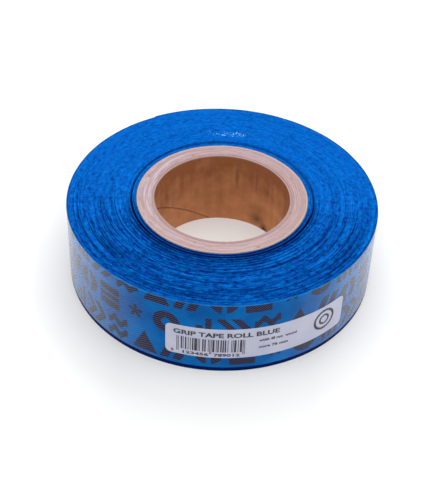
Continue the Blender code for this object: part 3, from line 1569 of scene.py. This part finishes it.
    def first_turns(self) -> bpy.types.Object:
        """Builds the few turns that lie on the core, inside the slack gap.

        Returns:
            The piece.
        """
        lines = self.first_count * self.samples
        column = np.arange(lines, -1, -1)
        loop = np.concatenate([column, [0, lines]]) / self.samples
        around = np.linspace(0.0, 1.0, self.first_stations, endpoint=False)
        angle = np.repeat((self.start + FULL_TURN * around)[:, None], len(loop), axis=1)
        turn = grow(loop, self.first_stations)
        radius = self.first_low + (self.first_high - self.first_low) / self.first_count * turn
        uneven = Unevenness(SEED + 90)
        part = turn - np.floor(turn + 1e-6)
        sunk_and_shaded = eased(-0.2, 0.9, -np.sin(angle))
        depth = 0.12 * uneven.across(3, 40)(turn, angle / FULL_TURN * 40.0)
        depth = depth + np.where(part < 0.01, 0.55, 0.0) + np.where(part > 0.7, 0.08, 0.0)
        depth = depth + sunk_and_shaded * (0.35 + 0.30 * (np.floor(turn + 0.01) % 2.0))
        # Painted shade: the sunken turns at the front are toned darker.
        tone = 0.62 + 0.3 * uneven.across(3, 60)(turn, angle / FULL_TURN * 60.0) - 0.22 * sunk_and_shaded
        is_top = np.arange(len(loop)) < len(column)
        height = np.where(is_top, self.height - self.first_drop - depth * MM, 0.0)
        # Painted shade in the crevices, from the relief's depth.
        wear = np.where(is_top, depth / 1.1, 0.3)
        skin = Skin(
            radius, angle, height, wear=wear, tone=tone, closed=True, from_above=True, sharp=self.sharp
        )
        piece = skin.build("band_inner_turns")
        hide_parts("band_first_turns")
        return piece

    def crossover(self) -> bpy.types.Object:
        """Builds the stretch that crosses the slack gap from the first turns to the winding.

        Returns:
            The piece.
        """
        angle = np.linspace(*self.crossing, 62)
        across = eased(*self.crossing_bend, angle)
        share = (angle - self.start) / FULL_TURN
        outside = self.radius_at(0.0, share) - self.crossing_end_gap
        inner = self.crossing_start * (1.0 - across) + outside * across
        strip = BandStrip(thickness=0.4 * MM, low=0.3 * MM, high=self.height - 0.4 * MM)
        piece = strip.piece("band_crossing_strip", angle, inner + strip.thickness)
        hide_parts("band_crossover")
        return piece

    def build(self, foam: bpy.types.Material) -> None:
        """Builds and dresses the whole winding.

        Args:
            foam: finish of the band.
        """
        made = [self.first_turns(), self.crossover()]
        for number in range(self.blocks):
            piece = self.block(number)
            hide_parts(f"band_turns_{number + 1}")
            made.append(piece)
        for piece in made:
            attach(piece, "roll")
            dress(piece, foam)
            report(piece)


@dataclass
class BandStrip:
    """A thin strip that stands on edge and follows a line round the roll."""

    thickness: float
    low: float
    high: float
    samples: int = 9
    edge_share: float = 0.012
    edge_wave: float = 0.10 * MM
    face_wave: float = 0.0
    seed: int = 7
    arc_shift: float = 0.0

    def piece(self, name: str, angle: np.ndarray, outer: np.ndarray) -> bpy.types.Object:
        """Builds the strip.

        Args:
            name: name of the piece.
            angle: azimuth of each station, counted on past a full turn.
            outer: radius of the outside at each station.

        Returns:
            The piece.
        """
        uneven = Unevenness(SEED + self.seed)
        top_edge = uneven.along(300)(angle * 14.0)
        foot_edge = uneven.along(300)(angle * 9.0)
        bulge = uneven.across(9, 400)
        level = np.linspace(0.0, 1.0, self.samples)
        level[1] = self.edge_share
        level[-2] = 1.0 - self.edge_share
        loop = np.concatenate([level, level[::-1]])
        is_outer = np.arange(2 * self.samples) < self.samples
        at_edge = (loop < 0.001) | (loop > 0.999)
        turned = np.repeat(angle[:, None], len(loop), axis=1)
        low = self.low + self.edge_wave * foot_edge
        high = self.high - self.edge_wave * top_edge
        height = low[:, None] + loop[None, :] * (high - low)[:, None]
        swell = bulge(loop[None, :] * 4.0, turned * 12.0) - 0.5
        face = outer[:, None] + self.face_wave * swell
        inset = np.where(at_edge, 0.25 * self.thickness, 0.0)[None, :]
        radius = np.where(is_outer, face - inset, face - self.thickness + inset)
        # Painted contact shadow towards the strip's foot, which the band's finish shows.
        wear = 0.75 * eased(2.6 * MM, 0.6 * MM, height)
        tone = 0.35 + 0.4 * uneven.across(9, 300)(loop[None, :] * 6.0, turned * 20.0)
        skin = Skin(radius, turned, height, wear=wear, tone=tone, arc_shift=self.arc_shift)
        return skin.build(name)


@dataclass
class LooseTurn:
    """The last turn of band and film, with the end that peels off."""

    winding: WoundBand
    first_hinge: float = HINGES[0]
    leaf_arc: float = HINGES[1] - HINGES[0]
    leaves: int = len(HINGES)
    band_clearance: float = 0.12 * MM
    band_thickness: float = 0.42 * MM
    film_clearance: float = 0.02 * MM
    film_thickness: float = 0.11 * MM
    film_low: float = 2.8 * MM
    film_high: float = 47.8 * MM
    under_start: float = math.radians(405.0)
    under_thickness: float = 0.06 * MM
    under_out: float = 0.08 * MM

    def outside(self, angle: np.ndarray) -> np.ndarray:
        """Radius of the winding's outside under the last turn."""
        share = (angle - self.winding.start) / FULL_TURN
        return self.winding.outer_start + self.winding.pitch * share

    @property
    def band_out(self) -> float:
        """How far the band's outside stands off the winding."""
        return self.band_clearance + self.band_thickness

    @property
    def film_out(self) -> float:
        """How far the film's outside stands off the winding."""
        return self.band_out + self.film_clearance + self.film_thickness

    def band(self) -> BandStrip:
        """The band as a strip."""
        return BandStrip(thickness=self.band_thickness, low=0.0, high=self.winding.height, seed=120)

    def film(self) -> BandStrip:
        """Describes the film as a strip.

        Returns:
            The strip.
        """
        return BandStrip(
            thickness=self.film_thickness,
            low=self.film_low,
            high=self.film_high,
            samples=13,
            edge_wave=0.22 * MM,
            face_wave=0.07 * MM,
            seed=140,
        )

    def finish(self) -> float:
        """Azimuth of the very end of the band."""
        return self.winding.start + FULL_TURN

    def point(self, angle: float) -> Place:
        """Finds a point on the circle of the hinges, half way up the roll.

        Args:
            angle: its azimuth.

        Returns:
            The point.
        """
        across = ROLL_RADIUS * math.cos(angle)
        along = ROLL_RADIUS * math.sin(angle)
        return across, along, 0.5 * self.winding.height

    def under_loose_end(self) -> bpy.types.Object:
        """Builds the film on the turn below, which shows once the end is peeled off.

        Returns:
            The piece.
        """
        shift = -FULL_TURN * ROLL_RADIUS
        strip = replace(self.film(), thickness=self.under_thickness, face_wave=0.0, arc_shift=shift)
        angle = np.linspace(self.under_start, self.finish(), 60)
        return strip.piece("film_under_loose_end", angle, self.outside(angle) + self.under_out)

    def fixed(self, foam: bpy.types.Material, film: bpy.types.Material) -> None:
        """Builds the part of the last turn that stays on the roll.

        Args:
            foam: finish of the band.
            film: finish of the film.
        """
        root = self.first_hinge - 0.5 * self.leaf_arc
        angle = np.linspace(self.winding.start, root, 237)
        line = self.outside(angle)
        band = self.band().piece("band_outer_turn", angle, line + self.band_out)
        cover = self.film().piece("film_outer_turn", angle, line + self.film_out)
        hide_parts("band_last_turn")
        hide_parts("film_last_turn")
        dress(band, foam)
        under = self.under_loose_end()
        for piece in (cover, under):
            dress(piece, film)
        for piece in (band, cover, under):
            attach(piece, "roll")
            report(piece)

    def loose_end(self, foam: bpy.types.Material, film: bpy.types.Material) -> None:
        """Builds the stretches of the loose end, one for each hinge and one more at the very end.

        Args:
            foam: finish of the band.
            film: finish of the film.
        """
        for number in range(1, self.leaves + 2):
            hinge = self.first_hinge + (number - 1) * self.leaf_arc
            begin = hinge - 0.5 * self.leaf_arc
            end = min(hinge + 0.5 * self.leaf_arc, self.finish())
            steps = max(3, round((end - begin) / math.radians(0.75)) + 1)
            angle = np.linspace(begin, end, steps)
            line = self.outside(angle)
            band = self.band().piece(f"band_loose_{number}", angle, line + self.band_out)
            cover = self.film().piece(f"film_loose_{number}", angle, line + self.film_out)
            node = min(number, self.leaves)
            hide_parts(f"band_tail_{node}")
            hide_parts(f"film_tail_{node}")
            dress(band, foam)
            dress(cover, film)
            for piece in (band, cover):
                self.carry(piece, number)
                report(piece)

    def carry(self, piece: bpy.types.Object, number: int) -> None:
        """Bakes a stretch's place into its mesh, or lets the very end ride on the last leaf.

        Args:
            piece: the stretch.
            number: number of its hinge.
        """
        if number > self.leaves:
            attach(piece, f"tail_{self.leaves}")
            return
        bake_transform(piece)

    def build(self, foam: bpy.types.Material, film: bpy.types.Material) -> None:
        """Builds and dresses the last turn and its loose end."""
        self.fixed(foam, film)
        self.loose_end(foam, film)


@dataclass(frozen=True)
class Wording:
    """One line of plain print: its text, left edge, foot, height and width in millimetres."""

    text: str
    left: float
    foot: float
    tall: float
    wide: float


@dataclass
class Label:
    """The pale label on the film, with its bar code and plain printing.

    Places on the label are its arc from the front of the roll and its height above the foot.
    """

    last_turn: LooseTurn
    left: float = -26.5 * MM
    right: float = 75.0 * MM
    low: float = 10.3 * MM
    high: float = 31.0 * MM
    corner: float = 3.0 * MM
    lift: float = 0.05 * MM
    thickness: float = 0.14 * MM
    ripple: float = 0.04 * MM
    ink_rise: float = 0.03 * MM
    boldness: float = 0.036
    capital_share: float = 0.70
    heading: tuple[Wording, ...] = (Wording("GRIP TAPE ROLL BLUE", -22.3, 25.2, 3.0, 55.6),)
    digits: tuple[Wording, ...] = (
        Wording("0", -23.4, 11.4, 1.9, 1.4),
        Wording("123456", -18.0, 11.4, 1.9, 13.6),
        Wording("789012", -1.0, 11.4, 1.9, 13.6),
    )
    small_print: tuple[Wording, ...] = (
        Wording("width 48 mm  wound", 22.5, 20.9, 1.8, 21.0),
        Wording("core 76 mm", 22.5, 16.1, 1.8, 16.0),
    )
    bars_left: float = -20.4
    bars_wide: float = 35.5
    bars_top: float = 23.5
    bars_foot: float = 14.5
    guards_foot: float = 12.8
    emblem_middle: tuple[float, float] = (61.0, 21.7)
    emblem_rings: tuple[tuple[float, float], ...] = ((7.0, 1.4), (3.5, 1.2))
    emblem_row: float = 0.5

    def base_radius(self, arc: np.ndarray) -> np.ndarray:
        """Radius of the film's outside under the label."""
        return self.last_turn.outside(FACING + arc / ROLL_RADIUS) + self.last_turn.film_out

    def sheet(self, paper: bpy.types.Material) -> None:
        """Builds the paper with its rounded corners.

        Args:
            paper: finish of the label.
        """
        near = self.corner * (1.0 - np.cos(np.linspace(0.0, 0.5 * math.pi, 7)))
        middle = np.linspace(self.left + self.corner, self.right - self.corner, 60)[1:-1]
        arc = np.concatenate([self.left + near, middle, (self.right - near)[::-1]])
        from_end = np.minimum(arc - self.left, self.right - arc)
        reach = np.clip(self.corner - from_end, 0.0, self.corner)
        cut = self.corner - np.sqrt(np.maximum(self.corner**2 - reach**2, 0.0))
        level = np.linspace(0.0, 1.0, 13)
        loop = np.concatenate([level, level[::-1]])
        is_outer = np.arange(len(loop)) < len(level)
        low = self.low + cut
        high = self.high - cut
        height = low[:, None] + loop[None, :] * (high - low)[:, None]
        bulge = Unevenness(SEED + 200).across(7, 60)
        swell = bulge(loop[None, :] * 3.0, arc[:, None] / (4.0 * MM)) - 0.5
        face = self.base_radius(arc)[:, None] + self.lift + self.thickness + self.ripple * swell
        radius = np.where(is_outer, face, face - self.thickness)
        angle = np.repeat((FACING + arc / ROLL_RADIUS)[:, None], len(loop), axis=1)
        piece = Skin(radius, angle, height).build("label_sheet")
        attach(piece, "roll")
        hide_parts("roll_label")
        dress(piece, paper)
        report(piece)

    def wrap(self, piece: bpy.types.Object, ink: bpy.types.Material) -> None:
        """Lays a flat mesh of ink on the label.

        Args:
            piece: mesh in the label's flat plane, thick along its third axis.
            ink: finish of the print.
        """
        mesh = piece.data
        co = np.zeros(len(mesh.vertices) * 3, dtype=np.float32)
        mesh.vertices.foreach_get("co", co)
        arc, up, out = co.reshape(-1, 3).T.astype(float)
        radius = self.base_radius(arc) + self.lift + self.thickness + self.ink_rise + out
        angle = FACING + arc / ROLL_RADIUS
        placed = np.stack([radius * np.cos(angle), radius * np.sin(angle), up], axis=-1)
        mesh.vertices.foreach_set("co", placed.astype(np.float32).ravel())
        store_vectors(mesh, Layer.FLAT, np.stack([arc, radius, up], axis=-1))
        store_numbers(mesh, Layer.WEAR, None, 0.0)
        store_numbers(mesh, Layer.TONE, None, 0.5)
        mesh.update()
        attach(piece, "roll")
        dress(piece, ink)
        report(piece)

    def blocks(self, name: str, boxes: Sequence[Box], ink: bpy.types.Material) -> None:
        """Prints upright rectangles.

        Args:
            name: name of the piece.
            boxes: left, right, low and high edges in millimetres.
            ink: finish of the print.
        """
        points: list[Place] = []
        faces: list[tuple[int, ...]] = []
        half = 0.5 * self.ink_rise
        for left, right, low, high in boxes:
            steps = max(1, math.ceil((right - left) / 1.5))
            base = len(points)
            for step in range(steps + 1):
                arc = (left + (right - left) * step / steps) * MM
                for up, out in ((low, half), (high, half), (high, -half), (low, -half)):
                    points.append((arc, up * MM, out))
            for step in range(steps):
                here = base + 4 * step
                for side in range(4):
                    after = (side + 1) % 4
                    faces.append((here + side, here + 4 + side, here + 4 + after, here + after))
            faces.append((base, base + 1, base + 2, base + 3))
            last = base + 4 * steps
            faces.append((last + 3, last + 2, last + 1, last))
        mesh = bpy.data.meshes.new(name)
        mesh.from_pydata(points, [], faces)
        self.wrap(link_piece(name, mesh), ink)

    def letters(self, name: str, line: Wording) -> bpy.types.Object:
        """Cuts one line of print as a flat mesh.

        Args:
            name: name of the mesh.
            line: what it says, and where.

        Returns:
            An object with the mesh.
        """
        curve = bpy.data.curves.new(name, "FONT")
        curve.body = line.text
        curve.size = line.tall * MM / self.capital_share
        curve.extrude = 0.5 * self.ink_rise
        curve.offset = self.boldness * curve.size
        curve.resolution_u = 3
        holder = link_piece(name, curve)
        bpy.context.view_layer.update()
        depsgraph = bpy.context.evaluated_depsgraph_get()
        mesh = bpy.data.meshes.new_from_object(holder.evaluated_get(depsgraph))
        bpy.data.objects.remove(holder)
        across = [vertex.co.x for vertex in mesh.vertices]
        squeeze = Matrix.Diagonal((line.wide * MM / (max(across) - min(across)), 1.0, 1.0, 1.0))
        mesh.transform(Matrix.Translation((line.left * MM, line.foot * MM, 0.0)) @ squeeze)
        return link_piece(name, mesh)

    def words(self, name: str, lines: Sequence[Wording], ink: bpy.types.Material) -> None:
        """Prints generic words or numbers as one piece.

        Args:
            name: name of the piece.
            lines: the lines of print.
            ink: finish of the print.
        """
        made = [self.letters(name, line) for line in lines]
        if len(made) > 1:
            with bpy.context.temp_override(active_object=made[0], selected_editable_objects=made):
                bpy.ops.object.join()
        self.wrap(made[0], ink)

    def bar_code(self) -> list[Box]:
        """Makes a plain row of bars with longer guards, from invented digits.

        Returns:
            The bars' edges in millimetres.
        """
        left_codes = ("0001101", "0011001", "0010011", "0111101", "0100011", "0110001")
        right_codes = ("1110010", "1100110", "1101100", "1000010", "1011100", "1001110")
        pattern = "101" + "".join(left_codes) + "01010" + "".join(right_codes) + "101"
        module = self.bars_wide / len(pattern)
        guards = {0, 2, 46, 48, 92, 94}
        found = []
        start = None
        for place, mark in enumerate(pattern + "0"):
            if mark == "1" and start is None:
                start = place
            if mark == "0" and start is not None:
                low = self.guards_foot if start in guards else self.bars_foot
                edges = (self.bars_left + start * module, self.bars_left + place * module)
                found.append((*edges, low, self.bars_top))
                start = None
        return found

    def emblem(self) -> list[Box]:
        """Makes a plain mark of two rings, printed in rows of short bars.

        Returns:
            The bars' edges in millimetres.
        """
        found = []
        middle, level = self.emblem_middle
        row = self.emblem_row
        for radius, stroke in self.emblem_rings:
            rows = round(radius / row)
            for step in range(-rows, rows):
                up = (step + 0.5) * row
                reach = math.sqrt(max(radius**2 - up**2, 0.0))
                bare = math.sqrt(max((radius - stroke) ** 2 - up**2, 0.0))
                low = level + step * row
                found.append((middle - reach, middle - bare, low, low + row))
                found.append((middle + bare, middle + reach, low, low + row))
        return found

    def build(self, paper: bpy.types.Material, ink: bpy.types.Material) -> None:
        """Builds the label and its printing.

        Args:
            paper: finish of the paper.
            ink: finish of the print.
        """
        self.sheet(paper)
        self.blocks("label_bars", self.bar_code(), ink)
        self.words("label_heading", self.heading, ink)
        self.words("label_digits", self.digits, ink)
        self.words("label_small_print", self.small_print, ink)
        self.blocks("label_emblem", self.emblem(), ink)


# ---------------------------------------------------------------- stage


@dataclass(frozen=True)
class Softbox:
    """One soft square lamp: its name, place, side in metres and power in watts."""

    name: str
    place: Place
    size: float
    power: float

    def hang(self, target: Place) -> None:
        """Hangs the lamp.

        Args:
            target: where it points.
        """
        lamp = bpy.data.lights.new(self.name, "AREA")
        lamp.shape = "SQUARE"
        lamp.size = self.size
        lamp.energy = self.power
        holder = link_piece(self.name, lamp)
        holder.location = self.place
        aim = Vector(target) - Vector(self.place)
        holder.rotation_euler = aim.to_track_quat("-Z", "Y").to_euler()


@dataclass
class Studio:
    """Floor, world, lamps and camera.

    The floor keeps the roll's shadow, and glows more with the distance from the roll until it is
    white. It doesn't glow in a ring under the turns, where no light would reach it.
    """

    lens: float = 79.72
    distance: float = 0.6103
    elevation: float = math.radians(40.52)
    turn: float = math.radians(0.49)
    tilt: float = math.radians(2.50)
    roll: float = math.radians(2.53)
    target: Place = (0.0, 0.0, 0.5 * ROLL_HEIGHT)
    shift: tuple[float, float] = (0.0088, -0.1207)
    white: Color = (1.0, 1.0, 1.0, 1.0)
    ambient: float = 0.32
    floor_half: float = 4.0
    floor_color: Color = (0.60, 0.60, 0.595, 1.0)
    fibre_color: Color = (0.7, 0.7, 0.7, 1.0)
    floor_glow: float = 0.23
    side_glow: float = 0.17
    side_from: float = 0.05
    side_full: float = 0.11
    far_glow: float = 0.60
    far_from: float = 0.11
    far_full: float = 0.27
    covered_middle: float = 63.0 * MM
    covered_half: float = 22.5 * MM
    lamp_target: Place = (0.0, 0.0, 0.02)
    lamps: tuple[Softbox, ...] = (
        Softbox("left_softbox", (-0.95, -0.25, 0.65), 0.8, 3.2),
        Softbox("right_softbox", (0.95, -0.15, 0.65), 0.8, 3.6),
        Softbox("back_softbox", (0.06, 0.36, 0.50), 0.45, 1.0),
        Softbox("front_softbox", (0.0, -1.0, 0.24), 0.6, 1.6),
        Softbox("top_softbox", (0.02, -0.08, 0.75), 0.7, 3.7),
    )

    @staticmethod
    def seen_directly(graph: Graph) -> Socket:
        """Tells whether a ray comes from the camera, a reflection or a clear piece.

        Args:
            graph: where the nodes go.

        Returns:
            1 for such a ray, and 0 for the light that falls on the roll.
        """
        path = graph.node("ShaderNodeLightPath").outputs
        seen = graph.larger(path["Is Camera Ray"], path["Is Glossy Ray"])
        return graph.larger(seen, path["Is Transmission Ray"])

    def floor_finish(self) -> bpy.types.Material:
        """Builds the floor's material.

        Returns:
            The material.
        """
        material, graph, surface = open_material("studio_paper_floor")
        place = graph.node("ShaderNodeTexCoord").outputs["Object"]
        grain = graph.effect(SharedEffects.GRAIN, Place=place, Fibres=700.0, Clouds=6.0)
        tone = graph.scaled(grain.outputs["Fibre"], 0.01, 0.995)
        across, along, _ = graph.parts(place)
        distance = graph.length(across, along)
        away = graph.contrast(distance, self.far_from, self.far_full)
        # Painted light: the floor glows more beside the roll than in front of it, so its shadow stays
        # deeper in front.
        beside = graph.contrast(graph.unsigned(across), self.side_from, self.side_full)
        glow = graph.scaled(away, self.far_glow, self.floor_glow)
        glow = graph.scaled(beside, self.side_glow, glow)
        covered = graph.math("COMPARE", distance, self.covered_middle, self.covered_half)
        glow = graph.times(glow, graph.minus(1.0, covered))
        graph.feed_inputs(
            surface,
            Base_Color=graph.mix(tone, self.fibre_color, self.floor_color),
            Roughness=0.9,
            Specular_IOR_Level=0.1,
            Emission_Color=self.white,
            Emission_Strength=graph.times(self.seen_directly(graph), glow),
        )
        return material

    def floor(self) -> None:
        """Lays the pale floor."""
        mesh = bpy.data.meshes.new("studio_floor")
        signs = ((-1.0, -1.0), (1.0, -1.0), (1.0, 1.0), (-1.0, 1.0))
        corners = [(right * self.floor_half, up * self.floor_half, 0.0) for right, up in signs]
        mesh.from_pydata(corners, [], [(0, 1, 2, 3)])
        mesh.materials.append(self.floor_finish())
        link_piece("studio_floor", mesh)

    def world(self) -> None:
        """Surrounds the roll with soft light that shows as white."""
        world = bpy.data.worlds.new("studio_tent")
        world.use_nodes = True
        graph = Graph(world.node_tree)
        strength = graph.scaled(self.seen_directly(graph), 1.0 - self.ambient, self.ambient)
        background = world.node_tree.nodes["Background"]
        graph.feed_inputs(background, Color=self.white, Strength=strength)
        bpy.context.scene.world = world

    def camera(self) -> None:
        """Sets the camera in front of the roll, looking down at it."""
        data = bpy.data.cameras.new("studio_camera")
        data.lens = self.lens
        data.sensor_width = 36.0
        data.shift_x, data.shift_y = self.shift
        data.clip_start = 0.02
        back = Vector((0.0, -math.cos(self.elevation), math.sin(self.elevation))) * self.distance
        place = Matrix.Translation(Vector(self.target) + back)
        look = (-back).to_track_quat("-Z", "Y").to_matrix().to_4x4()
        aside = Matrix.Rotation(self.turn, 4, "Y") @ Matrix.Rotation(self.tilt, 4, "X")
        holder = link_piece("studio_camera", data)
        holder.matrix_world = place @ look @ aside @ Matrix.Rotation(self.roll, 4, "Z")
        bpy.context.scene.camera = holder

    def build(self) -> None:
        """Sets up the whole stage."""
        self.floor()
        self.world()
        for lamp in self.lamps:
            lamp.hang(self.lamp_target)
        self.camera()
        bpy.context.scene.view_settings.view_transform = "Standard"


def liner_finish() -> KraftFinish:
    """Describes the paper of the bore, with its soft dark marks.

    Returns:
        The finish.
    """
    return KraftFinish(
        "kraft_bore_liner",
        dark=(0.29, 0.100, 0.034, 1.0),
        light=(0.92, 0.440, 0.195, 1.0),
        cut_edge=(0.36, 0.240, 0.235, 1.0),
        cut_from=46.9 * MM,
        shade_upwards=11.5,
        stains=(
            Stain(437.0, 33.0, 1.3, 8.5, 0.50),
            Stain(418.0, 34.0, 1.0, 10.0, 0.40),
            Stain(415.0, 6.0, 6.0, 5.5, 0.68),
            Stain(407.0, 1.0, 3.5, 5.0, 1.0),
            Stain(405.0, 30.0, 1.2, 8.0, 0.22),
            Stain(500.0, 20.0, 1.4, 12.0, 0.18),
            Stain(489.0, 30.0, 1.0, 11.0, 0.16),
        ),
    )


def wrap_finish() -> KraftFinish:
    """Describes the paper round the outside of the core.

    Returns:
        The finish.
    """
    return KraftFinish(
        "kraft_outer_wrap",
        dark=(0.36, 0.185, 0.115, 1.0),
        light=(0.58, 0.34, 0.23, 1.0),
        cut_edge=(0.47, 0.325, 0.275, 1.0),
        cut_from=47.2 * MM,
    )


def main() -> None:
    """Builds the sub-assemblies in order, then the stage."""
    logging.basicConfig(level=logging.INFO, format="%(name)s %(message)s")
    SharedEffects().build()
    foam = GripBandFinish().material()
    film = PrintedFilmFinish().material()
    board = BoardFinish().material()
    PaperCore().build(liner_finish().material(), wrap_finish().material(), board)
    winding = WoundBand()
    winding.build(foam)
    last_turn = LooseTurn(winding)
    last_turn.build(foam, film)
    Label(last_turn).build(LabelPaperFinish().material(), LabelInkFinish().material())
    Studio().build()


if __name__ == "__main__":
    main()
